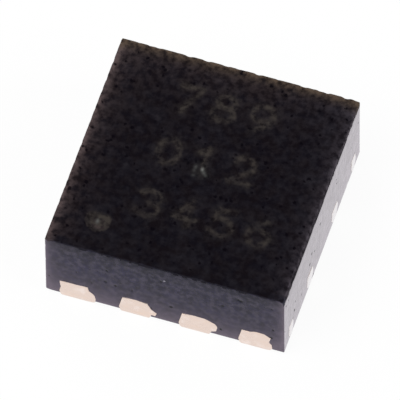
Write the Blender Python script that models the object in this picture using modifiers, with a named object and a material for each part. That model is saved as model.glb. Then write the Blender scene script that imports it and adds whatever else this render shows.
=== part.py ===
# Buck converter chip: a sawn, moulded power chip with no legs, two millimetres square.
#
# The origin is the middle of the seating plane, +Z is up and X runs along the rows of leads.
# The front row, lead_1 to lead_4 from left to right, faces -Y. The back row, lead_5 to lead_8
# from right to left, faces +Y. Pieces that touch in the real chip keep one small clearance.

import math

import bmesh
import bpy
from mathutils import Matrix, Vector
from mathutils.geometry import interpolate_bezier

# The chip is built in millimetres, where cuts a few thousandths wide stay exact, and hangs
# on an empty that brings it down to its real size in metres.

MILLIMETRE = 0.001

# Driving dimensions, in millimetres

CLEARANCE = 0.002
OVERRUN = 0.1
FLAT_ANGLE = 0.001

# leads
LEADS_PER_ROW = 4
LEAD_PITCH = 0.5
LEAD_WIDTH = 0.25
LEAD_LENGTH = 0.3
LEAD_THICKNESS = 0.2
LEAD_CUSP = 0.01
LEAD_CUSP_HEIGHT = 0.055
LEAD_TOP_NARROWING = 0.02
LEAD_FOOT_CHAMFER = 0.014
LEAD_END_RADIUS = 0.05

# half-etched metal, thinned from below
ETCH_DEPTH = 0.08
LOCK_EAR = 0.03
LOCK_START = 0.07
LOCK_LIP = 0.05
ANCHOR_WIDTH = 0.1
ANCHOR_INSET = 0.18
TIE_BAR_WIDTH = 0.14
TIE_BAR_SPREAD = 0.325

# thermal pad
PAD_WIDTH = 0.9
PAD_TO_LEAD = 0.25
PAD_TO_SIDE = 0.2
PAD_RADIUS = 0.04
PAD_CHAMFER = 0.2

# chip and its adhesive
DIE_LENGTH = 1.25
DIE_WIDTH = 0.76
DIE_THICKNESS = 0.2
ATTACH_THICKNESS = 0.02
ATTACH_FILLET = 0.025
BOND_PAD_SIDE = 0.075
BOND_PAD_DEPTH = 0.003
BOND_PAD_INSET = 0.065
BOND_PAD_PITCH = 0.3

# bond wires
WIRE_DIAMETER = 0.025
BALL_DIAMETER = 0.058
BALL_HEIGHT = 0.012
NECK_HEIGHT = 0.03
LOOP_RISE = 0.12
LOOP_CREST = 0.085
STITCH_INSET = 0.17
STITCH_LENGTH = 0.06
TWIN_SPACING = 0.095
GROUND_REACH = 0.12
CREST_STEPS = 5
FALL_STEPS = 8
ROUNDNESS = 0.55

# moulding
LEAD_TO_SIDE = 0.25
STANDOFF = 0.02
MOULD_OVER_LOOPS = 0.226
SAWN_EDGE = 0.006
DOT_DIAMETER = 0.2
DOT_DEPTH = 0.012
DOT_FROM_SIDE = 0.355
DOT_FROM_FRONT = 0.295
DOT_SIDES = 32

# Sizes that follow

BODY_LENGTH = (LEADS_PER_ROW - 1) * LEAD_PITCH + 2 * LEAD_TO_SIDE
BODY_WIDTH = PAD_WIDTH + 2 * (PAD_TO_LEAD + LEAD_LENGTH)
PAD_LENGTH = BODY_LENGTH - 2 * PAD_TO_SIDE

ATTACH_BOTTOM = LEAD_THICKNESS + CLEARANCE
DIE_BOTTOM = ATTACH_BOTTOM + ATTACH_THICKNESS + CLEARANCE
DIE_TOP = DIE_BOTTOM + DIE_THICKNESS
BOND_FLOOR = DIE_TOP - BOND_PAD_DEPTH
BODY_TOP = DIE_TOP + LOOP_RISE + MOULD_OVER_LOOPS

# farther than any piece reaches, and farther than that
FAR = BODY_LENGTH + BODY_WIDTH
FARTHER = FAR + OVERRUN

# an outline of the sheet runs well past both its faces, and a bar that joins it runs past that
OUTLINE_LOW = -3 * OVERRUN
OUTLINE_HIGH = LEAD_THICKNESS + 3 * OVERRUN
BAR_LOW = OUTLINE_LOW - OVERRUN
BAR_HIGH = OUTLINE_HIGH + OVERRUN

# leads that carry power have two wires, the others one
TWIN_WIRE_LEADS = (2, 7, 8)


# Scene

for old in list(bpy.data.objects):
    bpy.data.objects.remove(old, do_unlink=True)

pieces = bpy.data.collections.new("buck_converter_chip")
cutters = bpy.data.collections.new("cutters")
bpy.context.scene.collection.children.link(pieces)
bpy.context.scene.collection.children.link(cutters)


def make_material(name, colour, roughness, metallic):
    """A Principled material of one colour."""
    material = bpy.data.materials.new(name)
    material.use_nodes = True
    shader = material.node_tree.nodes["Principled BSDF"]
    shader.inputs["Base Color"].default_value = (*colour, 1.0)
    shader.inputs["Roughness"].default_value = roughness
    shader.inputs["Metallic"].default_value = metallic
    material.diffuse_color = (*colour, 1.0)
    return material


mould_compound = make_material("mould_compound", (0.012, 0.011, 0.013), 0.62, 0.0)
lead_copper = make_material("lead_copper", (0.83, 0.56, 0.42), 0.35, 1.0)
paddle_copper = make_material("paddle_copper", (0.80, 0.54, 0.41), 0.38, 1.0)
attach_adhesive = make_material("attach_adhesive", (0.55, 0.54, 0.50), 0.55, 0.0)
silicon = make_material("silicon", (0.16, 0.17, 0.20), 0.18, 0.3)
wire_gold = make_material("wire_gold", (0.86, 0.65, 0.28), 0.22, 1.0)


# Building blocks

def place(obj, collection, material=None):
    """Puts an object in one collection and gives it its material."""
    collection.objects.link(obj)
    if material:
        obj.data.materials.clear()
        obj.data.materials.append(material)
    if collection is cutters:
        obj.hide_render = True
        obj.display_type = "WIRE"
    return obj


def mesh_of(obj):
    """The evaluated shape of an object as a closed mesh with whole flat faces; the object is removed."""
    bpy.context.view_layer.update()
    evaluated = obj.evaluated_get(bpy.context.evaluated_depsgraph_get())
    mesh = bpy.data.meshes.new_from_object(evaluated)
    shape = bmesh.new()
    shape.from_mesh(mesh)
    bmesh.ops.remove_doubles(shape, verts=shape.verts, dist=CLEARANCE / 50)
    bmesh.ops.dissolve_limit(shape, angle_limit=FLAT_ANGLE, verts=shape.verts, edges=shape.edges)
    bmesh.ops.recalc_face_normals(shape, faces=shape.faces)
    shape.to_mesh(mesh)
    shape.free()
    bpy.data.objects.remove(obj, do_unlink=True)
    return mesh


def prism(outline, low, high, upright=False):
    """A mesh of an outline in X and Y swept from low to high in Z.

    An upright one is an outline in X and Z, swept from low to high in Y.
    """
    curve = bpy.data.curves.new("outline", "CURVE")
    curve.dimensions = "2D"
    curve.fill_mode = "BOTH"
    curve.extrude = (high - low) / 2
    spline = curve.splines.new("POLY")
    spline.points.add(len(outline) - 1)
    for point, (across, along) in zip(spline.points, outline):
        point.co = (across, along, 0.0, 1.0)
    spline.use_cyclic_u = True
    mesh = mesh_of(place(bpy.data.objects.new("outline", curve), cutters))
    middle = (low + high) / 2
    if upright:
        mesh.transform(Matrix.Translation((0, middle, 0)) @ Matrix.Rotation(math.pi / 2, 4, "X"))
    else:
        mesh.transform(Matrix.Translation((0, 0, middle)))
    return mesh


def block(left, right, front, back, low, high):
    """A box between six planes, as a mesh."""
    shape = bmesh.new()
    size = Matrix.Diagonal((right - left, back - front, high - low, 1))
    middle = Matrix.Translation(((left + right) / 2, (front + back) / 2, (low + high) / 2))
    bmesh.ops.create_cube(shape, size=1, matrix=middle @ size)
    mesh = bpy.data.meshes.new("block")
    shape.to_mesh(mesh)
    shape.free()
    return mesh


def cutter(name, mesh, location=(0, 0, 0), turn=0.0):
    """A hidden object that a Boolean uses."""
    obj = place(bpy.data.objects.new(name, mesh), cutters)
    obj.location = location
    obj.rotation_euler.z = turn
    return obj


def boolean(obj, tool, operation):
    """Adds, keeps or cuts away what another object covers."""
    step = obj.modifiers.new(tool.name, "BOOLEAN")
    step.operation = operation
    step.solver = "EXACT"
    step.object = tool


def combined(base, tool, operation):
    """One mesh joined to another, cut by it or kept only inside it."""
    first = cutter("base", base)
    second = cutter("tool", tool)
    boolean(first, second, operation)
    mesh = mesh_of(first)
    bpy.data.objects.remove(second, do_unlink=True)
    return mesh


def rounded(corners, steps=3):
    """An outline from corners (x, y, radius) in order; a corner of radius 0 stays sharp."""
    outline = []
    for index, (across, along, radius) in enumerate(corners):
        here = Vector((across, along))
        if not radius:
            outline.append(tuple(here))
            continue
        before = (Vector(corners[index - 1][:2]) - here).normalized()
        after = (Vector(corners[(index + 1) % len(corners)][:2]) - here).normalized()
        half_angle = before.angle(after) / 2
        reach = radius / math.tan(half_angle)
        centre = here + (before + after).normalized() * radius / math.sin(half_angle)
        start = here + before * reach - centre
        turn = start.angle_signed(here + after * reach - centre)
        for step in range(steps + 1):
            arm = start.copy()
            arm.rotate(Matrix.Rotation(-turn * step / steps, 2))
            outline.append(tuple(centre + arm))
    return outline


def rounded_box(right, front, back, radii, low, high):
    """A block as far left as right, with one radius for its two front corners and one for its back ones."""
    front_radius, back_radius = radii
    corners = [
        (-right, front, front_radius),
        (right, front, front_radius),
        (right, back, back_radius),
        (-right, back, back_radius),
    ]
    return prism(rounded(corners), low, high)


def etched(outline, full, front, grow, overrun):
    """Copper sheet cut to an outline and thinned from below, except where it stays full.

    The thin part starts at front. Outline and full part are taller than the sheet.
    """
    thin = block(-FAR, FAR, front, FAR, ETCH_DEPTH - grow, LEAD_THICKNESS + 2 * OVERRUN)
    sheet = block(-FARTHER, FARTHER, -FARTHER, FARTHER, -overrun, LEAD_THICKNESS + grow)
    metal = combined(sheet, outline, "INTERSECT")
    return combined(metal, combined(full, thin, "UNION"), "INTERSECT")


# Leads
#
# A lead's own origin is the middle of its foot's outer edge, and its own +Y points into the
# body. Grown by the clearance and run past the open faces, the same shape cuts its pocket.

def lead_section(grow, overrun):
    """The etched section: both faces are eaten from their own side and leave a cusp between."""
    foot = LEAD_WIDTH / 2 + grow
    cusp = LEAD_WIDTH / 2 + LEAD_CUSP + grow
    top = LEAD_WIDTH / 2 - LEAD_TOP_NARROWING + grow
    low = -overrun - OVERRUN
    if overrun:
        right = [(foot, low), (foot, LEAD_FOOT_CHAMFER)]
    else:
        right = [(foot - LEAD_FOOT_CHAMFER, low), (foot - LEAD_FOOT_CHAMFER, 0), (foot, LEAD_FOOT_CHAMFER)]
    right += [(cusp, LEAD_CUSP_HEIGHT), (top, LEAD_THICKNESS + grow), (top, LEAD_THICKNESS + OVERRUN)]
    return right + [(-across, up) for across, up in reversed(right)]


def lead_shape(side, grow=0.0, overrun=0.0):
    """A lead's mesh; side is -1 or 1 for an end lead with an anchor that way, else 0."""
    ear = LEAD_WIDTH / 2 + LOCK_EAR + grow
    inner = LEAD_LENGTH + LOCK_LIP + grow
    outline = rounded_box(ear, -3 * OVERRUN, inner, (0, LEAD_END_RADIUS), OUTLINE_LOW, OUTLINE_HIGH)
    if side:
        left, right = sorted((0, side * (LEAD_TO_SIDE + overrun)))
        near = ANCHOR_INSET - ANCHOR_WIDTH / 2 - grow
        far = ANCHOR_INSET + ANCHOR_WIDTH / 2 + grow
        anchor = block(left, right, near, far, BAR_LOW, BAR_HIGH)
        outline = combined(outline, anchor, "UNION")
    bar = prism(lead_section(grow, overrun), -2 * OVERRUN, LEAD_LENGTH + OVERRUN, upright=True)
    cusp = LEAD_WIDTH / 2 + LEAD_CUSP + grow + CLEARANCE
    end = rounded_box(cusp, -overrun, LEAD_LENGTH + grow, (0, LEAD_END_RADIUS), OUTLINE_LOW, OUTLINE_HIGH)
    return etched(outline, combined(bar, end, "INTERSECT"), LOCK_START - grow, grow, overrun)


def lead_seat(number):
    """Where a lead stands, and how far it is turned: one row faces -Y, the other +Y."""
    row, column = divmod(number - 1, LEADS_PER_ROW)
    across = (column - (LEADS_PER_ROW - 1) / 2) * LEAD_PITCH
    if row == 0:
        return Vector((across, -BODY_WIDTH / 2, 0)), 0.0
    return Vector((-across, BODY_WIDTH / 2, 0)), math.pi


def lead_side(number):
    """Which way, in its own frame, a lead has an anchor."""
    column = (number - 1) % LEADS_PER_ROW
    if column == 0:
        return -1
    return 1 if column == LEADS_PER_ROW - 1 else 0


lead_numbers = range(1, 2 * LEADS_PER_ROW + 1)
lead_meshes = {side: lead_shape(side) for side in (-1, 0, 1)}
pocket_meshes = {side: lead_shape(side, CLEARANCE, OVERRUN) for side in (-1, 0, 1)}

for number in lead_numbers:
    where, turn = lead_seat(number)
    lead = place(bpy.data.objects.new(f"lead_{number}", lead_meshes[lead_side(number)]), pieces, lead_copper)
    lead.location = where
    lead.rotation_euler.z = turn


# Paddle

def pad_plan(grow):
    """The pad's open face, with the corner by lead_1 cut off."""
    right = PAD_LENGTH / 2 + grow
    back = PAD_WIDTH / 2 + grow
    corners = [
        (-right + PAD_CHAMFER, -back),
        (right, -back),
        (right, back),
        (-right, back),
        (-right, -back + PAD_CHAMFER),
    ]
    return rounded([(*corner, PAD_RADIUS) for corner in corners])


def paddle_shape(grow=0.0, overrun=0.0):
    """The pad, its thinner rim and the bars that tie it to the frame at both sides."""
    right = PAD_LENGTH / 2 + LOCK_LIP + grow
    back = PAD_WIDTH / 2 + LOCK_LIP + grow
    outline = rounded_box(right, -back, back, (PAD_RADIUS, PAD_RADIUS), OUTLINE_LOW, OUTLINE_HIGH)
    reach = BODY_LENGTH / 2 + overrun
    half = TIE_BAR_WIDTH / 2 + grow
    for middle in (-TIE_BAR_SPREAD, TIE_BAR_SPREAD):
        bar = block(-reach, reach, middle - half, middle + half, BAR_LOW, BAR_HIGH)
        outline = combined(outline, bar, "UNION")
    full = prism(pad_plan(grow), OUTLINE_LOW, LEAD_THICKNESS + OVERRUN)
    return etched(outline, full, -FAR, grow, overrun)


place(bpy.data.objects.new("die_paddle", paddle_shape()), pieces, paddle_copper)


# Adhesive and chip

def attach_block(grow=0.0):
    """The adhesive film, a fillet's width larger than the chip all round."""
    right = DIE_LENGTH / 2 + ATTACH_FILLET + grow
    back = DIE_WIDTH / 2 + ATTACH_FILLET + grow
    top = ATTACH_BOTTOM + ATTACH_THICKNESS
    return block(-right, right, -back, back, ATTACH_BOTTOM - grow, top + grow)


def die_block(grow=0.0):
    """The chip before its bond pads are opened."""
    right = DIE_LENGTH / 2 + grow
    back = DIE_WIDTH / 2 + grow
    return block(-right, right, -back, back, DIE_BOTTOM - grow, DIE_TOP + grow)


die_attach = place(bpy.data.objects.new("die_attach", attach_block()), pieces, attach_adhesive)
slope = die_attach.modifiers.new("fillet", "BEVEL")
slope.width = ATTACH_THICKNESS / 3
slope.segments = 2
slope.limit_method = "ANGLE"

silicon_die = place(bpy.data.objects.new("silicon_die", die_block()), pieces, silicon)


# Bond wires

def wire_ends():
    """For each wire, where its ball sits on the chip and where its stitch lands."""
    ends = []
    for number in lead_numbers:
        where, turn = lead_seat(number)
        inward = -1 if turn else 1
        across = where.x / LEAD_PITCH * BOND_PAD_PITCH
        pad = Vector((across, -inward * (DIE_WIDTH / 2 - BOND_PAD_INSET), 0))
        stitch = Vector((where.x, where.y + inward * STITCH_INSET, 0))
        shifts = (-TWIN_SPACING / 2, TWIN_SPACING / 2) if number in TWIN_WIRE_LEADS else (0.0,)
        for shift in shifts:
            ends.append((pad + Vector((shift, 0, 0)), stitch + Vector((shift, 0, 0))))
    ground = Vector((DIE_LENGTH / 2 - BOND_PAD_INSET, 0, 0))
    ends.append((ground, ground + Vector((BOND_PAD_INSET + GROUND_REACH, 0, 0))))
    return ends


def wire_route(ball, stitch, grow):
    """Points along a wire's centre line with its radius at each: ball, neck, loop, stitch."""
    wire = WIRE_DIAMETER / 2
    heading = (stitch - ball).normalized()
    up = Vector((0, 0, 1))
    floor = BOND_FLOOR + CLEARANCE
    landing = LEAD_THICKNESS + CLEARANCE + wire
    neck = ball + up * (floor + NECK_HEIGHT)
    crest = ball + heading * LOOP_CREST + up * (DIE_TOP + LOOP_RISE - wire)
    touch = stitch - heading * STITCH_LENGTH / 2 + up * landing
    tail = stitch + heading * (STITCH_LENGTH / 2 + grow) + up * (landing - wire / 2)
    climb = up * (crest.z - neck.z) * ROUNDNESS
    over = heading * LOOP_CREST * ROUNDNESS
    fall = heading * (touch - crest).xy.length * ROUNDNESS
    route = list(interpolate_bezier(neck, neck + climb, crest - over, crest, CREST_STEPS))
    route += interpolate_bezier(crest, crest + fall, touch - fall, touch, FALL_STEPS)[1:]
    points = [ball + up * (floor - grow), ball + up * (floor + BALL_HEIGHT), *route, tail]
    radii = [BALL_DIAMETER / 2] * 2 + [wire] * len(route) + [wire / 2]
    return zip(points, radii, strict=True)


def wire_curve(ball, stitch, grow=0.0):
    """The wire as a curve, thick at the ball and thin at the stitch's end."""
    route = list(wire_route(ball, stitch, grow))
    curve = bpy.data.curves.new("wire", "CURVE")
    curve.dimensions = "3D"
    curve.bevel_depth = WIRE_DIAMETER / 2
    curve.bevel_resolution = 2
    curve.use_fill_caps = True
    curve.render_resolution_u = 0
    spline = curve.splines.new("POLY")
    spline.points.add(len(route) - 1)
    for point, (spot, radius) in zip(spline.points, route, strict=True):
        point.co = (*spot, 1.0)
        point.radius = (radius + grow) / curve.bevel_depth
    return curve


wire_pockets = []
for index, (ball, stitch) in enumerate(wire_ends(), start=1):
    place(bpy.data.objects.new(f"wire_{index}", wire_curve(ball, stitch)), pieces, wire_gold)
    half = BOND_PAD_SIDE / 2
    opening = block(ball.x - half, ball.x + half, ball.y - half, ball.y + half, BOND_FLOOR, DIE_TOP + OVERRUN)
    boolean(silicon_die, cutter(f"bond_pad_{index}", opening), "DIFFERENCE")
    channel = place(bpy.data.objects.new("channel", wire_curve(ball, stitch, CLEARANCE)), cutters)
    wire_pockets.append(cutter(f"wire_pocket_{index}", mesh_of(channel)))


# Moulding

moulding = block(-BODY_LENGTH / 2, BODY_LENGTH / 2, -BODY_WIDTH / 2, BODY_WIDTH / 2, STANDOFF, BODY_TOP)
mould_body = place(bpy.data.objects.new("mould_body", moulding), pieces, mould_compound)
edge = mould_body.modifiers.new("sawn_edges", "BEVEL")
edge.width = SAWN_EDGE
edge.segments = 1
edge.limit_method = "ANGLE"

dot_shape = bmesh.new()
dot_place = Matrix.Translation(
    (-BODY_LENGTH / 2 + DOT_FROM_SIDE, -BODY_WIDTH / 2 + DOT_FROM_FRONT, BODY_TOP + OVERRUN / 2 - DOT_DEPTH)
)
bmesh.ops.create_cone(
    dot_shape,
    cap_ends=True,
    segments=DOT_SIDES,
    radius1=DOT_DIAMETER / 2,
    radius2=DOT_DIAMETER / 2,
    depth=OVERRUN,
    matrix=dot_place,
)
dot_mesh = bpy.data.meshes.new("dot")
dot_shape.to_mesh(dot_mesh)
dot_shape.free()

boolean(mould_body, cutter("pin_1_dot", dot_mesh), "DIFFERENCE")
boolean(mould_body, cutter("paddle_pocket", paddle_shape(CLEARANCE, OVERRUN)), "DIFFERENCE")
boolean(mould_body, cutter("attach_pocket", attach_block(CLEARANCE)), "DIFFERENCE")
boolean(mould_body, cutter("die_pocket", die_block(CLEARANCE)), "DIFFERENCE")
for number in lead_numbers:
    where, turn = lead_seat(number)
    pocket = cutter(f"lead_pocket_{number}", pocket_meshes[lead_side(number)], where, turn)
    boolean(mould_body, pocket, "DIFFERENCE")
for pocket in wire_pockets:
    boolean(mould_body, pocket, "DIFFERENCE")


# Everything hangs on one empty, which turns millimetres into metres
to_metres = bpy.data.objects.new("to_metres", None)
bpy.context.scene.collection.objects.link(to_metres)
to_metres.scale = (MILLIMETRE, MILLIMETRE, MILLIMETRE)
for obj in [*pieces.objects, *cutters.objects]:
    obj.parent = to_metres
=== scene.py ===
"""Dresses a buck converter chip two millimetres square: moulding, marks, sawn copper and stage.

Shapes are worked out in millimetres and stored in metres. X runs along the rows of leads, the
front row faces -Y, and the board that the chip is soldered to would lie at Z = 0.
"""

import math
import random

import bmesh
import bpy
import numpy as np
from bpy.props import FloatProperty, FloatVectorProperty, IntProperty, PointerProperty, StringProperty
from mathutils import Matrix, Vector, noise


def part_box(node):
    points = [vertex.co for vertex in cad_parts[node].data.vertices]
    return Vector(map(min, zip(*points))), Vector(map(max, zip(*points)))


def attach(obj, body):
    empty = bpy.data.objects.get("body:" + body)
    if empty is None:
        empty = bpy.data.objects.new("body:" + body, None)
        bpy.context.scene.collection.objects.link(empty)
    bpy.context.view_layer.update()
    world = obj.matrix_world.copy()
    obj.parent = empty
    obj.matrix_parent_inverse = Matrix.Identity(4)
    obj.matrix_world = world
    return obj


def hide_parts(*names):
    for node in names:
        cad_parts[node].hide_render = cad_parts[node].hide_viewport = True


bl_info = {
    "name": "Buck Converter Chip",
    "version": (1, 0, 0),
    "blender": (4, 5, 0),
    "location": "3D View > Sidebar > Chip",
    "description": "Dresses a sawn power chip: moulding, marks, copper ends, plated pads and stage",
    "category": "Object",
}

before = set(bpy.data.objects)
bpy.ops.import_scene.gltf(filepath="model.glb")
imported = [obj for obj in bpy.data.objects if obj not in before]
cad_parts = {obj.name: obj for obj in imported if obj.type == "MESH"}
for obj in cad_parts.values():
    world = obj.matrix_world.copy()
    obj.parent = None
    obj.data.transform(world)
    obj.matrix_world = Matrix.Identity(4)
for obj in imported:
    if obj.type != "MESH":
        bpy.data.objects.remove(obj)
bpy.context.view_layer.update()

# noise vectors depend on a seed, which is the time unless it is set
noise.seed_set(1)

MM = 0.001
WELD = 0.00001
FLAT_ANGLE = 0.001
ON_PLANE = 0.0001
SHARP_ANGLE = math.radians(40)

LOW, HIGH = (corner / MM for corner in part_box("mould_body"))
SAWN_EDGE = 0.006
LEAD_NAMES = [f"lead_{number}" for number in range(1, 9)]
WIRE_NAMES = sorted(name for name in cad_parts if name.startswith("wire_"))


# Materials

class Socket:
    """An output of a shader node that takes part in arithmetic; each operator adds a Math node."""

    def __init__(self, nodes, output):
        self.nodes = nodes
        self.output = output

    def maths(self, operation, *values):
        return self.nodes.node("ShaderNodeMath", {"operation": operation}, dict(enumerate(values)))

    def __add__(self, other):
        return self.maths("ADD", self, other)

    def __sub__(self, other):
        return self.maths("SUBTRACT", self, other)

    def __rsub__(self, other):
        return self.maths("SUBTRACT", other, self)

    def __mul__(self, other):
        return self.maths("MULTIPLY", self, other)

    def __pow__(self, other):
        return self.maths("POWER", self, other)

    def __gt__(self, other):
        return self.maths("GREATER_THAN", self, other)

    def __lt__(self, other):
        return self.maths("LESS_THAN", self, other)

    __radd__ = __add__
    __rmul__ = __mul__

    def largest(self, other):
        return self.maths("MAXIMUM", self, other)

    def smooth(self, start, end):
        """Rises from 0 at start to 1 at end, or falls if end is the lower one."""
        settings = {"interpolation_type": "SMOOTHSTEP"}
        return self.nodes.node("ShaderNodeMapRange", settings, {0: self, 1: start, 2: end})


class Nodes:
    """A node tree in the making."""

    def __init__(self, tree):
        self.tree = tree

    def node(self, kind, settings=None, inputs=None, output=0):
        """Adds a node: its settings come first, then the values or links of its sockets."""
        made = self.tree.nodes.new(kind)
        for name, value in (settings or {}).items():
            setattr(made, name, value)
        for key, value in (inputs or {}).items():
            self.feed(made.inputs[key], value)
        return Socket(self, made.outputs[output])

    def feed(self, socket, value):
        """Links a node's output to a socket, or sets the socket's own value."""
        if isinstance(value, Socket):
            self.tree.links.new(value.output, socket)
        else:
            socket.default_value = value

    def backdrop_share(self):
        """1 for what the camera sees, straight or in a reflection, else 0."""
        straight = self.node("ShaderNodeLightPath", output="Is Camera Ray")
        mirrored = self.node("ShaderNodeLightPath", output="Is Glossy Ray")
        return straight.largest(mirrored)


class Finish(Nodes):
    """A material in the making: one Principled shader and the nodes that feed it."""

    def __init__(self, name, **uniform):
        self.material = bpy.data.materials.new(name)
        self.material.use_nodes = True
        super().__init__(self.material.node_tree)
        self.shader = self.tree.nodes["Principled BSDF"]
        for socket, value in uniform.items():
            self.shader.inputs[socket.replace("_", " ")].default_value = value

    def place(self, scale=(1, 1, 1)):
        """The point on the piece in millimetres, scaled."""
        point = self.node("ShaderNodeTexCoord", output="Object")
        size = [value / MM for value in scale]
        return self.node("ShaderNodeMapping", None, {"Vector": point, "Scale": size})

    def height(self, axis="Z"):
        """One coordinate of the point on the piece, in millimetres."""
        return self.node("ShaderNodeSeparateXYZ", None, {0: self.place()}, axis)

    def facing(self, axis):
        """How far the surface faces along an axis, from -1 to 1."""
        normal = self.node("ShaderNodeNewGeometry", output="Normal")
        return self.node("ShaderNodeSeparateXYZ", None, {0: normal}, axis)

    def grain(self, scale, detail, stretch=(1, 1, 1), rough=0.5):
        """Soft noise with so many lumps in a millimetre."""
        inputs = {"Vector": self.place(stretch), "Scale": scale, "Detail": detail, "Roughness": rough}
        return self.node("ShaderNodeTexNoise", None, inputs)

    def cells(self, scale, output="Distance"):
        """Scattered cells, so many in a millimetre: the distance to the nearest middle, or its colour."""
        inputs = {"Vector": self.place(), "Scale": scale}
        return self.node("ShaderNodeTexVoronoi", None, inputs, output)

    def painted(self, name):
        """A value that the mesh carries at its points."""
        return self.node("ShaderNodeAttribute", {"attribute_name": name}, None, "Fac")

    def mix(self, factor, first, second):
        """A colour between two colours."""
        first, second = (self.opaque(colour) for colour in (first, second))
        return self.node("ShaderNodeMix", {"data_type": "RGBA"}, {0: factor, 6: first, 7: second}, 2)

    def opaque(self, colour):
        """A plain colour gets the fourth number that a socket wants."""
        return colour if isinstance(colour, Socket) else (*colour, 1)

    def bump(self, height, distance, strength=1.0):
        """A normal that follows a height; distance is what a height of 1 stands for, in millimetres."""
        inputs = {"Height": height, "Distance": distance * MM, "Strength": strength}
        return self.node("ShaderNodeBump", None, inputs)

    def wear(self, **varying):
        """Feeds what varies over the surface to the shader and returns the material."""
        for socket, value in varying.items():
            self.feed(self.shader.inputs[socket.replace("_", " ")], value)
        return self.material


# Settings

class MouldSettings(bpy.types.PropertyGroup):
    moulded_colour: FloatVectorProperty(
        name="Moulded colour", description="Darkest colour of the top and the underside",
        subtype="COLOR", size=3, min=0, max=1, default=(0.0042, 0.0028, 0.0042),
    )
    grain_colour: FloatVectorProperty(
        name="Grain colour", description="Colour of the palest grains in the top",
        subtype="COLOR", size=3, min=0, max=1, default=(0.0290, 0.0262, 0.0315),
    )
    sawn_colour: FloatVectorProperty(
        name="Sawn colour", description="Darkest colour of the four sawn sides",
        subtype="COLOR", size=3, min=0, max=1, default=(0.0005, 0.0005, 0.0100),
    )
    # painted reflection: this lighter colour on the top's left edge is partly wear and partly painted
    # reflection of the pale surroundings on the edge's rounding
    rubbed_and_lit_colour: FloatVectorProperty(
        name="Rubbed colour", description="Colour of the top's left edge, where handling has rubbed it",
        subtype="COLOR", size=3, min=0, max=1, default=(0.088, 0.064, 0.064),
    )
    cell: FloatProperty(
        name="Mesh cell", description="Spacing of the skin's mesh, in millimetres",
        default=0.0105, min=0.005,
    )
    cell_height: FloatProperty(
        name="Side cell", description="Height of a mesh cell on the sides, in millimetres",
        default=0.015, min=0.005,
    )
    under_cell: FloatProperty(
        name="Lower cell", description="Spacing of the mesh underneath, in millimetres",
        default=0.04, min=0.005,
    )
    grain_depth: FloatProperty(
        name="Grain depth", description="Depth of the moulded grain, in millimetres",
        default=0.0012, min=0,
    )
    pits: IntProperty(name="Pits", description="Number of pits in the top", default=170, min=0)
    edge_radius: FloatProperty(
        name="Edge radius", description="Usual rounding of a sawn edge, in millimetres",
        default=0.004, min=0,
    )
    worn_radius: FloatProperty(
        name="Worn radius", default=0.055, min=0,
        description="Rounding of the top's right edge at its front end, in millimetres",
    )
    front_radius: FloatProperty(
        name="Front radius", default=0.012, min=0,
        description="Rounding of the top's front edge at its right end, in millimetres",
    )
    torn_radius: FloatProperty(
        name="Torn radius", default=0.032, min=0,
        description="Size of the tears in the top's back and left edges, in millimetres",
    )


class MarkSettings(bpy.types.PropertyGroup):
    text: StringProperty(
        name="Digits", description="Plain digits on the top, a space between the rows",
        default="789 012 3456",
    )
    height: FloatProperty(
        name="Height", description="Height of a digit, in millimetres", default=0.235, min=0,
    )
    width: FloatProperty(
        name="Width", description="Width of a digit, in millimetres", default=0.17, min=0,
    )
    stroke: FloatProperty(
        name="Stroke", description="Width of a line, in millimetres", default=0.054, min=0,
    )
    pitch: FloatProperty(
        name="Pitch", description="Step from digit to digit, in millimetres", default=0.308,
    )
    row_pitch: FloatProperty(
        name="Row pitch", description="Step from row to row, in millimetres", default=0.517,
    )
    first: FloatVectorProperty(
        name="First digit", description="Middle of the first digit, in millimetres",
        size=2, default=(-0.312, 0.600),
    )
    colour: FloatVectorProperty(
        name="Mark colour", description="Colour where the laser has scorched the top",
        subtype="COLOR", size=3, min=0, max=1, default=(0.0385, 0.0325, 0.0290),
    )


class MetalSettings(bpy.types.PropertyGroup):
    copper: FloatVectorProperty(
        name="Copper", description="Colour of freshly sawn copper",
        subtype="COLOR", size=3, min=0, max=1, default=(0.790, 0.652, 0.583),
    )
    plating: FloatVectorProperty(
        name="Plating", description="Colour of the plated faces that are soldered",
        subtype="COLOR", size=3, min=0, max=1, default=(0.74, 0.72, 0.68),
    )
    smear: FloatProperty(
        name="Smear thickness", description="How proud the smeared copper stands, in millimetres",
        default=0.003, min=0,
    )
    smear_depth: FloatProperty(
        name="Smear depth", description="How far the smear is pressed into the side, in millimetres",
        default=0.005, min=0,
    )


class StageSettings(bpy.types.PropertyGroup):
    azimuth: FloatProperty(
        name="Azimuth", description="Where the camera stands, round Z from +X",
        subtype="ANGLE", default=math.radians(-71.6531),
    )
    elevation: FloatProperty(
        name="Elevation", description="Height of the camera above the floor",
        subtype="ANGLE", default=math.radians(57.4742),
    )
    roll: FloatProperty(
        name="Roll", description="Lean of the camera", subtype="ANGLE", default=math.radians(-0.5909),
    )
    distance: FloatProperty(
        name="Distance", description="From the camera to the chip", unit="LENGTH", default=0.139309,
    )
    aim: FloatVectorProperty(
        name="Aim", size=2, default=(-0.0260, 0.1711),
        description="Middle of the picture, right of and above the chip's foot, in millimetres",
    )
    lens: FloatProperty(
        name="Lens", description="Focal length, in millimetres", default=1565.6, min=1,
    )


# Meshes

def cad_shape(name):
    """A CAD node's shape in millimetres, with whole flat faces."""
    shape = bmesh.new()
    shape.from_mesh(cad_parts[name].data)
    bmesh.ops.scale(shape, vec=Vector((1, 1, 1)) / MM, verts=shape.verts)
    bmesh.ops.remove_doubles(shape, verts=shape.verts, dist=WELD)
    bmesh.ops.dissolve_limit(shape, angle_limit=FLAT_ANGLE, verts=shape.verts, edges=shape.edges)
    return shape


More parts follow.
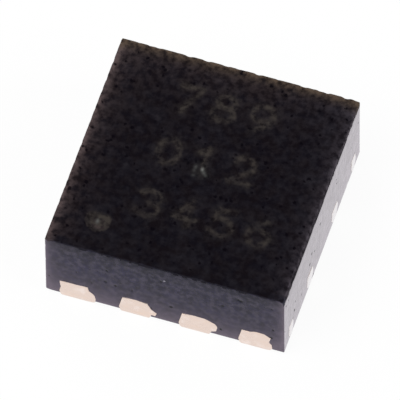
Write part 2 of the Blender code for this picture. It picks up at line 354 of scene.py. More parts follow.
def slice_across(shape, axis, spacing, wanted):
    """Cuts the wanted faces by evenly spaced planes across one axis, from the lowest plane up.

    The faces are kept in order, not in sets, so that every run makes the same mesh.
    """
    places = [vert.co[axis] for vert in shape.verts]
    low, high = min(places), max(places)
    steps = max(1, round((high - low) / spacing))
    normal = Vector(float(index == axis) for index in range(3))
    rest = [face for face in shape.faces if wanted(face)]
    for step in range(1, steps):
        station = low + (high - low) * step / steps
        rest = [face for face in rest if max(vert.co[axis] for vert in face.verts) > station + ON_PLANE]
        struck = [face for face in rest if min(vert.co[axis] for vert in face.verts) < station - ON_PLANE]
        geom = dict.fromkeys(item for face in struck for item in (face, *face.edges, *face.verts))
        cut = bmesh.ops.bisect_plane(
            shape, geom=list(geom), plane_co=normal * station, plane_no=normal, dist=ON_PLANE
        )
        faces = [item for item in cut["geom"] if isinstance(item, bmesh.types.BMFace)]
        rest = list(dict.fromkeys(rest + faces))


def new_piece(name, shape, materials, painted=None):
    """Turns a shape in millimetres into a piece in metres that rides on the chip."""
    mesh = bpy.data.meshes.new(name)
    bmesh.ops.scale(shape, vec=Vector((MM, MM, MM)), verts=shape.verts)
    shape.to_mesh(mesh)
    shape.free()
    for material in materials:
        mesh.materials.append(material)
    for key, values in (painted or {}).items():
        mesh.attributes.new(key, "FLOAT", "POINT").data.foreach_set("value", values.astype(np.float32))
    mesh.shade_smooth()
    mesh.set_sharp_from_angle(angle=SHARP_ANGLE)
    piece = bpy.data.objects.new(name, mesh)
    bpy.context.scene.collection.objects.link(piece)
    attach(piece, "root")
    return piece


def noise_at(points, scale, seed):
    """Soft noise from -1 to 1 at each point, with so many lumps in a millimetre along each axis."""
    shift = Vector((seed * 7.3, seed * 3.1, seed * 5.7))
    scales = Vector(scale) if hasattr(scale, "__len__") else Vector((scale,) * 3)
    return np.array([noise.noise(Vector(point) * scales + shift) for point in points])


def craters(points, count, radii, low, high, seed):
    """Round hollows scattered over a plane: how deep each point lies in one, from 0 to 1."""
    dice = random.Random(seed)
    depth = np.zeros(len(points))
    for _ in range(count):
        centre = np.array([dice.uniform(low[0], high[0]), dice.uniform(low[1], high[1])])
        radius = dice.uniform(*radii)
        stretch = np.array([dice.uniform(0.8, 1.25), 1.0])
        near = np.abs(points - centre).max(axis=1) < 2 * radius
        share = (((points[near] - centre) * stretch / radius) ** 2).sum(axis=1)
        depth[near] = np.maximum(depth[near], np.clip(1 - share, 0, 1))
    return depth


def spots(points, places):
    """What soft spots on a plane, each a middle, its radii and its strength, add up to at each point."""
    total = np.zeros(len(points))
    for middle, radii, strength in places:
        total += strength * np.exp(-(((points - middle) / radii) ** 2).sum(axis=1))
    return total


def smooth_step(values, start, end):
    """Rises from 0 at start to 1 at end along a soft curve."""
    share = np.clip((values - start) / (end - start), 0, 1)
    return share * share * (3 - 2 * share)


# Digits

def arc(centre, radii, start, end, steps=14):
    """Points along an ellipse between two angles, in turns."""
    (across, up), (wide, high) = centre, radii
    turns = np.linspace(start, end, steps) * 2 * math.pi
    return [(across + wide * math.cos(turn), up + high * math.sin(turn)) for turn in turns]


def half_turn(path):
    """A path turned round the middle of its digit."""
    return [(1 - across, 1 - up) for across, up in path]


def digit_paths():
    """The lines of each digit in a box that is 1 wide and 1 high."""
    six = [arc((0.5, 0.31), (0.5, 0.31), 0, 1), arc((0.93, 0.36), (0.93, 0.64), 0.5, 0.29)]
    return {
        "0": [arc((0.5, 0.5), (0.5, 0.5), 0, 1, 20)],
        "1": [[(0.15, 0.78), (0.5, 1), (0.5, 0)]],
        "2": [arc((0.5, 0.70), (0.5, 0.30), 0.44, -0.10) + [(0, 0), (1, 0)]],
        "3": [arc((0.45, 0.74), (0.48, 0.26), 0.42, -0.22), arc((0.45, 0.27), (0.53, 0.27), 0.24, -0.42)],
        "4": [[(0.72, 0), (0.72, 1), (0, 0.3), (1, 0.3)]],
        "5": [[(0.92, 1), (0.12, 1), (0.06, 0.56)] + arc((0.46, 0.33), (0.54, 0.33), 0.34, -0.40)],
        "6": six,
        "7": [[(0, 1), (1, 1), (0.35, 0)]],
        "8": [arc((0.5, 0.76), (0.42, 0.24), 0, 1), arc((0.5, 0.27), (0.5, 0.27), 0, 1)],
        "9": [half_turn(path) for path in six],
    }


def stroke_distance(points, path):
    """Distance from each point to the nearest place on a path."""
    nearest = np.full(len(points), np.inf)
    for start, end in zip(np.array(path), np.array(path[1:])):
        along = end - start
        share = np.clip(((points - start) @ along) / (along @ along), 0, 1)
        gap = np.linalg.norm(points - start - share[:, None] * along, axis=1)
        nearest = np.minimum(nearest, gap)
    return nearest


def digit_mask(points, marks):
    """How much each point of the top is marked by the digits, from 0 to 1."""
    mask = np.zeros(len(points))
    paths = digit_paths()
    size = np.array([marks.width, marks.height])
    for row, text in enumerate(marks.text.split()):
        for column, digit in enumerate(text):
            middle = np.array(marks.first) + np.array([column * marks.pitch, -row * marks.row_pitch])
            near = np.abs(points - middle).max(axis=1) < marks.height
            for path in paths[digit]:
                line = (np.array(path) - 0.5) * size + middle
                gap = stroke_distance(points[near], line)
                burnt = 1 - smooth_step(gap, marks.stroke * 0.2, marks.stroke * 0.65)
                halo = 0.28 * np.exp(-((gap / marks.stroke) ** 2))
                mask[near] = np.maximum(mask[near], burnt + halo * (1 - burnt))
    return mask


# Moulding

DOT_PLACE = (-0.645, -0.705)
DOT_RADIUS = 0.1
DOT_DEPTH = 0.012
DOT_SLOPE = 0.02
DOT_RIM = 0.008
DOT_RELIEF = 0.002

PIT_RADII = (0.010, 0.021)
PIT_DEPTH = 0.004
MARK_DEPTH = 0.0012
SIDE_PITS = 16
SIDE_PIT_RADII = (0.009, 0.019)
SIDE_PIT_DEPTH = 0.003
SAW_DEPTH = 0.0008
FRONT_TEARS = 0.035
EDGE_CHIPS = 0.03

# where a side stops being bare and sawn: how far below the top, how ragged that line is, and how far
# a bare face may lean
RIGHT_BORDER = (0.055, 0.5, 0.25)
FRONT_BORDER = (0.014, 1.2, 0.6)
OTHER_BORDER = (0.012, 0.5, 0.3)

# soft spots in the dot: where from its middle, how wide along X and Y, and how strongly
DOT_SCORCH = (
    ((0.024, 0.052), (0.040, 0.034), 1.00),
    ((0.068, 0.018), (0.040, 0.044), 1.80),
    ((0.028, -0.034), (0.036, 0.028), 1.20),
    ((-0.080, 0.036), (0.028, 0.028), 0.95),
    ((-0.055, -0.037), (0.028, 0.024), 0.40),
)
DOT_WEAR = (
    ((0.020, -0.063), (0.060, 0.026), 0.60),
    ((0.058, 0.012), (0.040, 0.044), 0.26),
    ((0.000, 0.000), (0.036, 0.036), 0.16),
)
DOT_FILLER = (((-0.007, -0.007), (0.016, 0.027), 0.50),)

# the same for filler laid bare at the middle of the top
SCAR = (
    ((-0.003, 0.000), (0.011, 0.016), 0.95),
    ((0.017, -0.027), (0.015, 0.017), 0.34),
    ((0.038, -0.047), (0.014, 0.013), 0.22),
    ((-0.061, 0.008), (0.013, 0.018), 0.26),
    ((-0.063, -0.028), (0.013, 0.015), 0.16),
    ((-0.056, -0.073), (0.014, 0.012), 0.16),
    ((-0.016, -0.018), (0.080, 0.080), 0.03),
)


def round_off(point, radius, axes):
    """Pulls a point of the box's skin in to edges of a radius; axes are those across the edges."""
    inner = point.copy()
    for axis in axes:
        inner[axis] = min(max(point[axis], LOW[axis] + radius), HIGH[axis] - radius)
    arm = point - inner
    return inner + arm * radius / arm.length if arm.length > radius > 0 else point


def wear_off(point, settings):
    """Rounds the moulding's edges at a point: some are worn, and all are a little torn by the saw."""
    fine = noise.noise(point * 28)
    coarse = noise.noise(point * 9 + Vector((4.1, 0, 0)))
    torn = noise.noise(point * 17 + Vector((0, 9.4, 0)))
    worn = 1 + 0.10 * fine
    upper = point.z > HIGH.z / 2
    if upper and point.y > 0:
        point = round_off(point, settings.torn_radius * max(0.0, 0.4 + torn), (1, 2))
    if upper and point.x < 0:
        point = round_off(point, settings.torn_radius * max(0.0, 0.2 + torn), (0, 2))
    if upper and point.x > 0:
        forward = 0.62 - 0.38 * math.tanh(3 * (point.y - 0.2))
        point = round_off(point, settings.worn_radius * worn * forward, (0, 2))
    if upper and point.y < 0:
        rightward = max(0.0, 0.3 + 0.7 * point.x / HIGH.x)
        point = round_off(point, settings.front_radius * worn * rightward, (1, 2))
        point = round_off(point, FRONT_TEARS * max(0.0, coarse - 0.1), (1, 2))
    usual = settings.edge_radius * (1 + 0.35 * fine + 0.25 * coarse)
    return round_off(point, usual + EDGE_CHIPS * max(0.0, torn - 0.28), (0, 1, 2))


def rubbed_and_lit(gap):
    """How strongly the painted light and the wear of an edge show at a distance from it: 1 at the edge,
    fading inward.
    """
    return 0.8 * np.exp(-gap / 0.03) + 0.2 * np.exp(-gap / 0.12)


def moulded_finish(settings, marks):
    """Matt black epoxy as it leaves the mould: fine grain, pits darkened with painted shade, pale filler
    grains, laser marks, and edges lightened partly by wear and partly by painted light.
    """
    finish = Finish("moulded_compound", Specular_IOR_Level=0.02, IOR=1.5)
    cloud = finish.grain(4, 3)
    grain = finish.grain(17, 4, rough=0.58)
    fine = finish.grain(150, 2)
    lumps = finish.grain(9, 3, rough=0.6).smooth(0.52, 0.74)
    hue = finish.grain(9, 3).smooth(0.35, 0.65)
    dark = finish.mix(hue, settings.moulded_colour, (0.0034, 0.0028, 0.0052))
    tone = grain.smooth(0.30, 0.78) * 0.29 + lumps * 0.145 + cloud.smooth(0.40, 0.75) * 0.11 - 0.052
    base = finish.mix(tone.largest(0), dark, settings.grain_colour)
    # painted reflection: moulded faces that lean toward the front are mixed toward a pale bluish tone,
    # standing in for the floor's reflection that lights the front
    base = finish.mix(finish.facing("Y").smooth(-0.2, -0.9) * 0.3, base, (0.036, 0.034, 0.049))
    # the top's left, right and back edges are lighter, partly wear and partly painted reflection of the
    # pale surroundings on their rounding; warm on the left and back, neutral on the right
    worn = finish.mix(finish.height("X").smooth(0.2, 0.9), settings.rubbed_and_lit_colour, (0.066, 0.056, 0.068))
    worn = finish.mix(finish.height("Y").smooth(0.85, 0.97), worn, (0.084, 0.060, 0.044))
    # painted reflection: a ragged bluish strip along the top's front edge carries the front side's lit
    # tone, which comes from the floor's reflection
    front = finish.height("Y").smooth(-0.92, -0.96) * finish.height("X").smooth(-0.98, -0.86)
    worn = finish.mix(front, worn, (0.042, 0.040, 0.057))
    # rim: where the edges' painted light and wear show, patchy with the grain
    rim = finish.painted("rubbed_and_lit") * (0.2 + 1.6 * grain.smooth(0.3, 0.7))
    base = finish.mix(rim, base, worn)
    # painted shade: pits, pressed into the skin and scattered by cells, are darkened toward black
    holes = finish.cells(9).smooth(0.28, 0.05) * (finish.cells(9, "Color") > 0.72)
    pits = finish.painted("pit").smooth(0, 0.8).largest(holes * 0.8)
    base = finish.mix(pits * 0.92, base, (0.0012, 0.0006, 0.0020))
    filler = finish.cells(7).smooth(0.055, 0.03) * (finish.cells(7, "Color") > 0.9)
    base = finish.mix(filler, base, (0.060, 0.064, 0.062))
    mark = finish.painted("mark") * (0.15 + 1.05 * grain.smooth(0.32, 0.66)) * (1 - pits * 0.6)
    base = finish.mix(mark, base, marks.colour)
    base = finish.mix(finish.painted("speck"), base, (0.150, 0.155, 0.148))
    relief = grain * 0.7 + fine * 0.3 - pits * 0.8
    rough = 0.6 + 0.2 * grain
    return finish.wear(Base_Color=base, Roughness=rough, Normal=finish.bump(relief, 0.0022, 0.6))


def sawn_finish(settings):
    """Epoxy cut by a diamond saw: satin, with upright and level streaks, cut filler and torn-out grains;
    pits darkened with painted shade, and painted light on some sides and edges.
    """
    polish = {"Coat_IOR": 1.2, "Coat_Roughness": 0.05, "Coat_Tint": (1, 0.94, 1, 1)}
    finish = Finish("sawn_compound", Specular_IOR_Level=0.075, IOR=1.5, **polish)
    cloud = finish.grain(5, 4)
    upright = finish.grain(30, 3, stretch=(1, 1, 0.12))
    level = finish.grain(40, 3, stretch=(0.08, 0.08, 1))
    grain = finish.grain(15, 4, rough=0.6)
    fine = finish.grain(19, 3)
    tone = (grain * 0.5 + cloud * 0.3 + upright * 0.14 + level * 0.06).smooth(0.36, 0.66)
    tone = tone * finish.height().smooth(HIGH.z + 0.02, 0.55)
    base = finish.mix(tone, settings.sawn_colour, (0.001, 0.001, 0.034))
    base = finish.mix((fine * 0.7 + grain * 0.3).smooth(0.42, 0.66) * 0.6, base, (0.034, 0.030, 0.054))
    # painted reflection: the sides that face X are mixed toward a paler, more neutral colour, standing in
    # for their grazing reflection of the floor
    across = finish.facing("X") ** 2
    base = finish.mix(across * 0.8, base, (0.034, 0.026, 0.038))
    # painted light: lighter along the upright edges, towards the foot and near the top edges, partly wear
    # at the top edges
    base = finish.mix(finish.painted("rubbed_and_lit"), base, (0.124, 0.106, 0.134))
    filler = finish.cells(9).smooth(0.12, 0.06) * (finish.cells(9, "Color") > 0.93)
    base = finish.mix(filler, base, (0.30, 0.31, 0.33))
    # painted shade: pits and torn-out holes are darkened toward black
    holes = finish.cells(9).smooth(0.18, 0.08) * (finish.cells(9, "Color") < 0.14)
    pits = finish.painted("pit").smooth(0.1, 0.6).largest(holes)
    base = finish.mix(pits * 0.9, base, (0.001, 0.001, 0.002))
    relief = upright * 0.2 + level * 0.2 + grain * 0.3 + fine * 0.3 - pits * 0.8
    rough = 0.08 + 0.05 * grain + 0.3 * pits
    film = 1.02 - 0.02 * across + 0.14 * tone + 0.10 * cloud.smooth(0.3, 0.7)
    speckle = 0.42 * fine.smooth(0.66, 0.36) + 0.16 * grain.smooth(0.7, 0.3)
    film = (1 - 0.7 * pits) * (film - speckle * (1 - 0.55 * across))
    film = film * (0.35 + 0.65 * finish.height().smooth(HIGH.z + 0.02, HIGH.z - 0.12))
    normal = finish.bump(relief, 0.0016, 0.5)
    return finish.wear(Base_Color=base, Roughness=rough, Coat_Weight=film, Normal=normal)


class Skin:
    """The points of the moulding's skin: where each lies, what is painted on it and how deep it is."""

    def __init__(self, shape):
        shape.verts.index_update()
        self.flat = np.array([vert.co for vert in shape.verts])
        self.low, self.high = np.array(LOW), np.array(HIGH)
        self.on_low = self.flat < self.low + ON_PLANE
        self.on_high = self.flat > self.high - ON_PLANE
        self.ring = np.linalg.norm(self.flat[:, :2] - DOT_PLACE, axis=1)
        in_ring = self.ring < DOT_RADIUS + ON_PLANE
        sunk = ~self.on_high[:, 2] & (self.flat[:, 2] > self.high[2] - DOT_DEPTH - ON_PLANE)
        self.dot = in_ring & sunk
        self.top = self.on_high[:, 2] | self.dot
        self.sides = (self.on_low[:, :2] | self.on_high[:, :2]).any(axis=1)
        # wear holds real wear and painted light together: lighter edges, a painted reflection along the
        # front edge and a painted highlight on the sides' upright edges
        layers = np.zeros((6, len(self.flat)))
        self.mark, self.pit, self.speck, self.wear, self.depth, self.side_depth = layers

    def make_top(self, settings, marks):
        """Grain, pits, digits and bare filler; the left, right and back edges lighter, partly wear and
        partly painted reflection, and a ragged strip of painted reflection along the front edge.
        """
        flat = self.flat[self.top]
        plan = flat[:, :2]
        patchy = noise_at(flat, 30, 1)
        mottle = noise_at(flat, 14, 8)
        mark = digit_mask(plan, marks) * (0.4 + 0.5 * smooth_step(patchy + mottle, -0.7, 0.4))
        mark *= 0.82 + 0.14 * smooth_step(plan[:, 1], -0.3, 0.4)
        to_left, to_front = (plan - self.low[:2]).T
        to_right, to_back = (self.high[:2] - plan).T
        # lighter towards the left, right and back edges: partly wear, partly painted reflection on their
        # rounding
        wear = rubbed_and_lit(to_left) + 0.55 * rubbed_and_lit(to_right)
        wear += rubbed_and_lit(to_back) + 0.06 * np.exp(-to_back / 0.3)
        # painted reflection: a ragged strip along the front edge, in the front side's lit tone
        torn = 0.014 * noise_at(flat, 9, 17) + 0.007 * noise_at(flat, 30, 18) - 0.002
        torn *= smooth_step(plan[:, 0], 1.1, 0.3)
        wear += 0.6 * smooth_step(to_front - torn, 0.006, -0.006)
        warped = plan + 0.012 * np.column_stack([noise_at(flat, 40, seed) for seed in (15, 16)])
        pit = craters(warped, settings.pits, PIT_RADII, self.low, self.high, 2)
        grain = noise_at(flat, 45, 5) * 0.6 + noise_at(flat, 22, 6) * 0.4
        depth = settings.grain_depth * (1 + grain) + PIT_DEPTH * pit + MARK_DEPTH * mark * (1 + patchy)
        self.mark[self.top] = mark
        self.wear[self.top] = wear
        self.pit[self.top] = pit
        self.speck[self.top] = spots(plan, SCAR)
        self.depth[self.top] = depth

    def make_dot(self):
        """The pin 1 dot, scorched and worn in spots, with a sloping wall and a scorched rim."""
        rim = self.on_high[:, 2] & (self.ring < DOT_RADIUS + DOT_RIM)
        behind = self.flat[rim][:, 1] - DOT_PLACE[1]
        self.mark[rim] = 0.5 * (1 - smooth_step(behind, 0.02, 0.09))
        flat = self.flat[self.dot]
        off = flat[:, :2] - DOT_PLACE
        mottle = noise_at(flat, 26, 7)
        self.mark[self.dot] = 0.26 + 0.34 * smooth_step(mottle, -0.4, 0.5) + spots(off, DOT_SCORCH)
        self.wear[self.dot] = spots(off, DOT_WEAR)
        self.speck[self.dot] = spots(off, DOT_FILLER)
        self.depth[self.dot] += DOT_RELIEF * mottle
        self.flat[self.dot, :2] -= off * DOT_SLOPE / DOT_RADIUS

    def make_sides(self):
        """The saw's streaks and pits; a painted highlight along the upright edges, lighter towards the
        foot, and the top edges of the left, back and right sides lighter, partly wear and partly painted
        light.
        """
        flank = self.flat[self.sides]
        saw = noise_at(flank, (40, 40, 4), 9) * 0.5 + noise_at(flank, (5, 5, 55), 10) * 0.5
        for axis in (0, 1):
            span = [1 - axis, 2]
            low, high = self.low[span], self.high[span]
            for seed, plane in enumerate((self.on_low, self.on_high), start=11 + 2 * axis):
                side = plane[:, axis]
                holes = craters(self.flat[side][:, span], SIDE_PITS, SIDE_PIT_RADII, low, high, seed)
                self.pit[side] = np.maximum(self.pit[side], holes)
        # painted highlight: the sides get lighter near their upright edges, where the rounding catches the
        # light, and they also get lighter towards the foot
        to_upright = np.sort(np.minimum(flank - self.low, self.high - flank)[:, :2], axis=1)[:, 1]
        to_foot = flank[:, 2] - self.low[2]
        self.wear[self.sides] = 0.95 * rubbed_and_lit(to_upright) + 1.15 * np.exp(-to_foot / 0.15)
        # the top edges of the left, back and right sides: partly wear, partly painted light
        for side in (self.on_low[:, 0], self.on_high[:, 1], self.on_high[:, 0]):
            self.wear[side] += rubbed_and_lit(self.high[2] - self.flat[side, 2])
        self.side_depth[self.sides] = SAW_DEPTH * (1 + saw) + SIDE_PIT_DEPTH * self.pit[self.sides]

    def press(self, shape, settings):
        """Rounds the shape's edges and presses grain, pits and marks into it."""
        skin = (self.on_low | self.on_high).any(axis=1)
        inward = self.on_low.astype(float) - self.on_high.astype(float)
        for index, vert in enumerate(shape.verts):
            if not (skin[index] or self.dot[index]):
                continue
            point = Vector(self.flat[index])
            if skin[index]:
                point = wear_off(point, settings)
            point.z -= self.depth[index]
            for axis in (0, 1):
                point[axis] += inward[index, axis] * self.side_depth[index]
            vert.co = point

    def painted(self):
        """What the materials read at each point."""
        return {"mark": self.mark, "pit": self.pit, "speck": self.speck, "rubbed_and_lit": self.wear.clip(0, 1)}


class CHIP_OT_mould(bpy.types.Operator):
    """Makes the moulding: a fine skin with grain, pits, worn edges, the pin 1 dot and the marks"""

    bl_idname = "chip.mould"
    bl_label = "Moulding"

    def execute(self, context):
        settings, marks = context.scene.chip_mould, context.scene.chip_marks
        shape = cad_shape("mould_body")
        for axis, cell in enumerate((settings.cell, settings.cell, settings.cell_height)):
            slice_across(shape, axis, cell, self.on_top_or_side)
            slice_across(shape, axis, settings.under_cell, self.underneath)
        outside = {face for face in shape.faces if self.on_top_or_side(face) and not self.in_dot(face)}
        skin = Skin(shape)
        skin.make_top(settings, marks)
        skin.make_dot()
        skin.make_sides()
        skin.press(shape, settings)
        shape.normal_update()
        for face in outside:
            face.material_index = int(self.is_sawn(face))
        materials = [moulded_finish(settings, marks), sawn_finish(settings)]
        piece = new_piece("moulding_skin", shape, materials, skin.painted())
        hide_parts("mould_body")
        return {"FINISHED"}

    def on_top_or_side(self, face):
        middle = face.calc_center_median()
        if middle.z > HIGH.z - DOT_DEPTH - ON_PLANE:
            return True
        edge = ON_PLANE + SAWN_EDGE
        return any(middle[i] < LOW[i] + edge or middle[i] > HIGH[i] - edge for i in (0, 1))

    def underneath(self, face):
        return face.calc_center_median().z < LOW.z + ON_PLANE

    def in_dot(self, face):
        middle = face.calc_center_median()
        return (middle.xy - Vector(DOT_PLACE)).length < DOT_RADIUS and middle.z < HIGH.z - ON_PLANE

    def is_sawn(self, face):
        """Whether a face is bare as the saw left it, and not part of the top or its worn edge."""
        middle = face.calc_center_median()
        torn = 0.024 * noise.noise(middle * 9) + 0.014 * noise.noise(middle * 30)
        if face.normal.x > 0.5:
            drop, tear, lean = RIGHT_BORDER
        elif face.normal.y < -0.2:
            drop, tear, lean = FRONT_BORDER
        else:
            drop, tear, lean = OTHER_BORDER
        return abs(face.normal.z) < lean and middle.z < HIGH.z - drop - tear * torn


# Lead frame

LEADS_PER_ROW = 4
LEAD_PITCH = 0.5
BAR_BOTTOM = 0.08
BAR_HEIGHT = 0.12
BAR_SEED = 20
SMEAR_CELL = 0.012
SMEAR_RIM = 0.014

# for each bar end in a side: its middle along Y, half its width and its slot
BARS = (
    (-0.82, 0.05, "lead_copper"),
    (-0.325, 0.07, "paddle_copper"),
    (0.325, 0.07, "paddle_copper"),
    (0.82, 0.05, "lead_copper"),
)

# corners of the copper that the saw smeared over a lead's end, from the lead's middle and up from its foot
LEAD_SMEARS = (
    [(-0.100, 0.004), (0.148, 0.003), (0.164, 0.018), (0.170, 0.058), (0.162, 0.104), (0.140, 0.136),
     (0.112, 0.154), (0.105, 0.206), (-0.020, 0.203), (-0.130, 0.198), (-0.122, 0.114), (-0.110, 0.035)],
    [(-0.098, 0.003), (0.112, 0.006), (0.126, 0.050), (0.169, 0.052), (0.181, 0.092), (0.140, 0.130),
     (0.101, 0.200), (0.000, 0.214), (-0.102, 0.201), (-0.108, 0.119), (-0.126, 0.069), (-0.114, 0.030)],
    [(-0.088, 0.003), (0.120, 0.003), (0.142, 0.050), (0.178, 0.070), (0.190, 0.130), (0.172, 0.170),
     (0.140, 0.186), (0.087, 0.209), (-0.010, 0.214), (-0.098, 0.193), (-0.108, 0.140), (-0.113, 0.084)],
    [(-0.088, 0.003), (0.130, 0.004), (0.150, 0.030), (0.146, 0.088), (0.121, 0.112), (0.136, 0.180),
     (0.085, 0.216), (0.017, 0.222), (-0.020, 0.208), (-0.090, 0.191), (-0.097, 0.110), (-0.104, 0.037)],
)

# the same for a bar's end, in shares of the bar's width and height
BAR_SMEAR = [(-0.30, -0.35), (0.28, -0.40), (0.56, 0.05), (0.62, 0.45), (0.52, 0.80), (0.35, 1.00),
             (-0.20, 0.86), (-0.48, 0.60), (-0.58, 0.15)]


def copper_finish(settings):
    """Copper alloy: freshly sawn at the sides of the chip, plated where it is soldered, and paler where it
    faces X, a painted reflection at a grazing angle.
    """
    finish = Finish("sawn_copper", Metallic=1.0)
    drag = finish.grain(34, 3, stretch=(0.25, 0.25, 1))
    fine = finish.grain(120, 2)
    patch = finish.grain(11, 3)
    plated = finish.height().smooth(0.022, 0.012) * finish.facing("Z").smooth(-0.1, -0.5)
    bare = finish.mix(drag.smooth(0.45, 0.85) * 0.7, settings.copper, (0.84, 0.65, 0.54))
    bare = finish.mix(patch.smooth(0.5, 0.75) * 0.5, bare, (0.93, 0.83, 0.79))
    # painted reflection: copper that faces X is mixed toward a paler colour, standing in for its reflection
    # at a grazing angle
    painted_grazing_sheen = finish.facing("X") ** 2
    bare = finish.mix(painted_grazing_sheen, bare, (0.80, 0.77, 0.785))
    base = finish.mix(plated, bare, settings.plating)
    rough = 0.2 + 0.12 * drag + 0.06 * fine + 0.12 * plated
    relief = drag * 0.5 + fine * 0.5
    return finish.wear(Base_Color=base, Roughness=rough, Normal=finish.bump(relief, 0.0008, 0.4))


def ragged(corners, seed, step=0.007, jitter=0.0035):
    """An outline with points between its corners, torn a little in and out."""
    outline = []
    for start, end in zip(corners, corners[1:] + corners[:1]):
        start, end = Vector(start), Vector(end)
        count = max(1, round((end - start).length / step))
        outline += [start.lerp(end, index / count) for index in range(count)]
    tears = [noise.noise_vector(Vector((*point, seed)) * 45).xy * jitter for point in outline]
    return [tuple(point + tear) for point, tear in zip(outline, tears)]


def smeared_film(outline, settings, seed):
    """A closed film of copper in X and Z that faces -Y, thinnest along its rim, in millimetres."""
    shape = bmesh.new()
    front = [shape.verts.new((across, 0, up)) for across, up in outline]
    back = [shape.verts.new((across, settings.smear_depth, up)) for across, up in outline]
    shape.faces.new(front)
    shape.faces.new(reversed(back))
    for index in range(len(outline)):
        shape.faces.new((front[index], front[index - 1], back[index - 1], back[index]))
    bmesh.ops.recalc_face_normals(shape, faces=shape.faces)
    shape.normal_update()
    for axis in (0, 2):
        slice_across(shape, axis, SMEAR_CELL, lambda face: face.calc_center_median().y < ON_PLANE)
    face = [vert for vert in shape.verts if vert.co.y < ON_PLANE]
    plan = np.array([(vert.co.x, vert.co.z) for vert in face])
    gap = stroke_distance(plan, outline + outline[:1])
    waves = noise_at([vert.co for vert in face], (30, 30, 60), seed)
    full = (0.15 + 0.85 * smooth_step(gap, 0, SMEAR_RIM)) * (1 + 0.25 * waves)
    for vert, proud in zip(face, full):
        vert.co.y = -settings.smear * proud
    return shape


class CHIP_OT_lead_frame(bpy.types.Operator):
    """Finishes the leads and the paddle, and smears sawn copper over the ends of leads and bars"""

    bl_idname = "chip.lead_frame"
    bl_label = "Lead frame"

    def execute(self, context):
        settings = context.scene.chip_metal
        finish = copper_finish(settings)
        for name in (*LEAD_NAMES, "die_paddle"):
            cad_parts[name].material_slots[0].material = finish
        for number in range(1, len(LEAD_NAMES) + 1):
            self.smear_lead(number, settings, finish)
        ends = [(side, *bar) for side in (-1, 1) for bar in BARS]
        for number, (side, place, half, slot) in enumerate(ends, start=1):
            film = self.bar_film(BAR_SEED + number, half, settings)
            self.seat(film, side * math.pi / 2, (LOW.x if side < 0 else HIGH.x, place, 0))
            new_piece(f"bar_end_{number}", film, [finish])
        return {"FINISHED"}

    def smear_lead(self, number, settings, finish):
        """Copper dragged over the end of a lead; the back row is the front row turned round."""
        column = (number - 1) % LEADS_PER_ROW
        across = (column - (LEADS_PER_ROW - 1) / 2) * LEAD_PITCH
        film = smeared_film(ragged(LEAD_SMEARS[column], number), settings, number)
        if number <= LEADS_PER_ROW:
            self.seat(film, 0, (across, LOW.y, 0))
        else:
            self.seat(film, math.pi, (-across, HIGH.y, 0))
        new_piece(f"lead_end_{number}", film, [finish])

    def bar_film(self, seed, half, settings):
        """Copper dragged over the end of a bar; half is half the bar's width."""
        corners = [(across * 2 * half, BAR_BOTTOM + up * BAR_HEIGHT) for across, up in BAR_SMEAR]
        return smeared_film(ragged(corners, seed), settings, seed)

    def seat(self, film, turn, where):
        """Turns a film to face outward and moves it to its place on a side of the moulding."""
        film.transform(Matrix.Translation(Vector(where)) @ Matrix.Rotation(turn, 4, "Z"))


# Inside

class CHIP_OT_inside(bpy.types.Operator):
    """Gives the chip, its adhesive and its bond wires their finishes"""

    bl_idname = "chip.inside"
    bl_label = "Chip and wires"

    def execute(self, context):
        gold = self.gold()
        for name in WIRE_NAMES:
            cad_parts[name].material_slots[0].material = gold
        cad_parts["silicon_die"].material_slots[0].material = self.silicon()
        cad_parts["die_attach"].material_slots[0].material = self.adhesive()
        return {"FINISHED"}

    def gold(self):
        """Fine gold wire with the marks of the die that drew it."""
        finish = Finish("drawn_gold", Metallic=1.0)
        drawn = finish.grain(60, 2)
        base = finish.mix(drawn, (0.80, 0.58, 0.22), (0.90, 0.70, 0.34))
        rough = 0.16 + 0.14 * drawn
        return finish.wear(Base_Color=base, Roughness=rough, Normal=finish.bump(drawn, 0.0006))

    def silicon(self):
        """Polished silicon with blocks of circuit on its top."""
        finish = Finish("silicon_circuit", IOR=3.4)
        blocks = finish.cells(9, "Color")
        lines = finish.grain(30, 1, stretch=(1, 0.1, 1))
        base = finish.mix(blocks, (0.10, 0.11, 0.14), (0.20, 0.19, 0.17))
        base = finish.mix(finish.facing("Z").smooth(0.6, 0.9), (0.13, 0.14, 0.17), base)
        rough = 0.12 + 0.2 * lines
        return finish.wear(Base_Color=base, Roughness=rough, Normal=finish.bump(lines, 0.0006))

    def adhesive(self):
        """Epoxy filled with silver flakes."""
        finish = Finish("silver_epoxy", Metallic=0.6)
        flakes = finish.cells(70)
        base = finish.mix(flakes.smooth(0.1, 0.5), (0.66, 0.65, 0.62), (0.38, 0.37, 0.35))
        rough = 0.4 + 0.4 * flakes
        return finish.wear(Base_Color=base, Roughness=rough, Normal=finish.bump(flakes, 0.0012))


# Stage

FLOOR_SIZE = 0.15
FLOOR_DROP = 0.002

# square lamps: name, place and width in metres, and how bright their faces are
SOFTBOXES = (
    ("key_softbox", (-0.05, -0.05, 0.10), 0.09, 4.2),
    ("fill_softbox", (0.10, 0.00, 0.06), 0.07, 4.2),
    ("back_softbox", (-0.07, 0.07, 0.05), 0.06, 2.2),
)


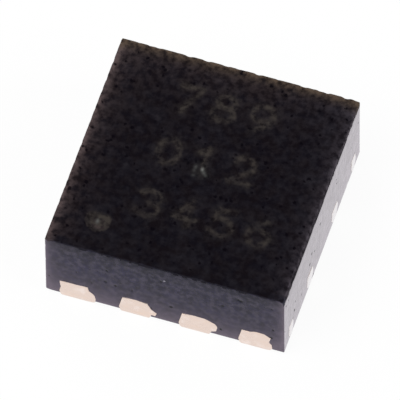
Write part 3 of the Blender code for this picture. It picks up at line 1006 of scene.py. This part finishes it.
class CHIP_OT_stage(bpy.types.Operator):
    """Sets up the pale floor, the soft lamps and the camera"""

    bl_idname = "chip.stage"
    bl_label = "Stage"

    def execute(self, context):
        self.make_floor(context)
        self.make_world(context)
        for name, where, size, radiance in SOFTBOXES:
            self.make_lamp(context, name, Vector(where), size, radiance)
        self.make_camera(context)
        context.scene.view_settings.view_transform = "Standard"
        return {"FINISHED"}

    def make_floor(self, context):
        """A pale floor that still takes the chip's shadow."""
        shape = bmesh.new()
        bmesh.ops.create_grid(shape, x_segments=8, y_segments=8, size=FLOOR_SIZE)
        mesh = bpy.data.meshes.new("floor")
        shape.to_mesh(mesh)
        shape.free()
        floor = bpy.data.objects.new("floor", mesh)
        context.scene.collection.objects.link(floor)
        floor.location.z = -FLOOR_DROP * MM
        finish = Finish("pale_floor", Roughness=0.8, Specular_IOR_Level=0.1)
        base = finish.mix(finish.grain(2, 2), (0.90, 0.90, 0.90), (0.92, 0.92, 0.92))
        finish.wear(Base_Color=base)
        matt = Socket(finish, finish.shader.outputs[0])
        glow = finish.node("ShaderNodeEmission")
        share = finish.backdrop_share() * 0.94
        blend = finish.node("ShaderNodeMixShader", None, {0: share, 1: matt, 2: glow})
        finish.feed(finish.tree.nodes["Material Output"].inputs[0], blend)
        mesh.materials.append(finish.material)

    def make_world(self, context):
        """Even grey light, and white for what the camera sees."""
        world = bpy.data.worlds.new("studio")
        context.scene.world = world
        world.use_nodes = True
        nodes = Nodes(world.node_tree)
        sky = nodes.tree.nodes["Background"]
        nodes.feed(sky.inputs["Color"], (1, 1, 1, 1))
        nodes.feed(sky.inputs["Strength"], 0.3 + 0.7 * nodes.backdrop_share())

    def make_lamp(self, context, name, where, size, radiance):
        """A square softbox that faces the chip; radiance is how bright its face is."""
        data = bpy.data.lights.new(name, "AREA")
        data.shape = "SQUARE"
        data.size = size
        data.energy = radiance * math.pi * size * size
        lamp = bpy.data.objects.new(name, data)
        context.scene.collection.objects.link(lamp)
        lamp.location = where
        lamp.rotation_euler = where.to_track_quat("Z", "Y").to_euler()
        lamp.visible_camera = False

    def make_camera(self, context):
        """Stands the camera where the picture is taken from."""
        stage = context.scene.chip_stage
        flat = math.cos(stage.elevation)
        back = Vector((
            math.cos(stage.azimuth) * flat,
            math.sin(stage.azimuth) * flat,
            math.sin(stage.elevation),
        ))
        right = Vector((-math.sin(stage.azimuth), math.cos(stage.azimuth), 0))
        upright = Matrix((right, back.cross(right), back)).transposed()
        turned = upright @ Matrix.Rotation(stage.roll, 3, "Z")
        data = bpy.data.cameras.new("camera")
        data.lens = stage.lens
        data.clip_start = stage.distance / 10
        data.clip_end = stage.distance * 10
        camera = bpy.data.objects.new("camera", data)
        context.scene.collection.objects.link(camera)
        aim = turned @ Vector((stage.aim[0] * MM, stage.aim[1] * MM, stage.distance))
        camera.matrix_world = Matrix.Translation(aim) @ turned.to_4x4()
        context.scene.camera = camera


# Add-on

OPERATORS = (CHIP_OT_mould, CHIP_OT_lead_frame, CHIP_OT_inside, CHIP_OT_stage)
SETTINGS = {
    "chip_mould": MouldSettings,
    "chip_marks": MarkSettings,
    "chip_metal": MetalSettings,
    "chip_stage": StageSettings,
}


class CHIP_PT_panel(bpy.types.Panel):
    """Lists the settings and the pieces of the chip"""

    bl_idname = "CHIP_PT_panel"
    bl_label = "Buck Converter Chip"
    bl_space_type = "VIEW_3D"
    bl_region_type = "UI"
    bl_category = "Chip"

    def draw(self, context):
        for name, group in SETTINGS.items():
            box = self.layout.box()
            for key in group.__annotations__:
                box.prop(getattr(context.scene, name), key)
        for operator in OPERATORS:
            self.layout.operator(operator.bl_idname)


def register():
    for group in (*SETTINGS.values(), *OPERATORS, CHIP_PT_panel):
        bpy.utils.register_class(group)
    for name, group in SETTINGS.items():
        setattr(bpy.types.Scene, name, PointerProperty(type=group))


def unregister():
    for name in SETTINGS:
        delattr(bpy.types.Scene, name)
    for group in reversed((*SETTINGS.values(), *OPERATORS, CHIP_PT_panel)):
        bpy.utils.unregister_class(group)


def main():
    register()
    bpy.ops.chip.mould()
    bpy.ops.chip.lead_frame()
    bpy.ops.chip.inside()
    bpy.ops.chip.stage()


if __name__ == "__main__":
    main()
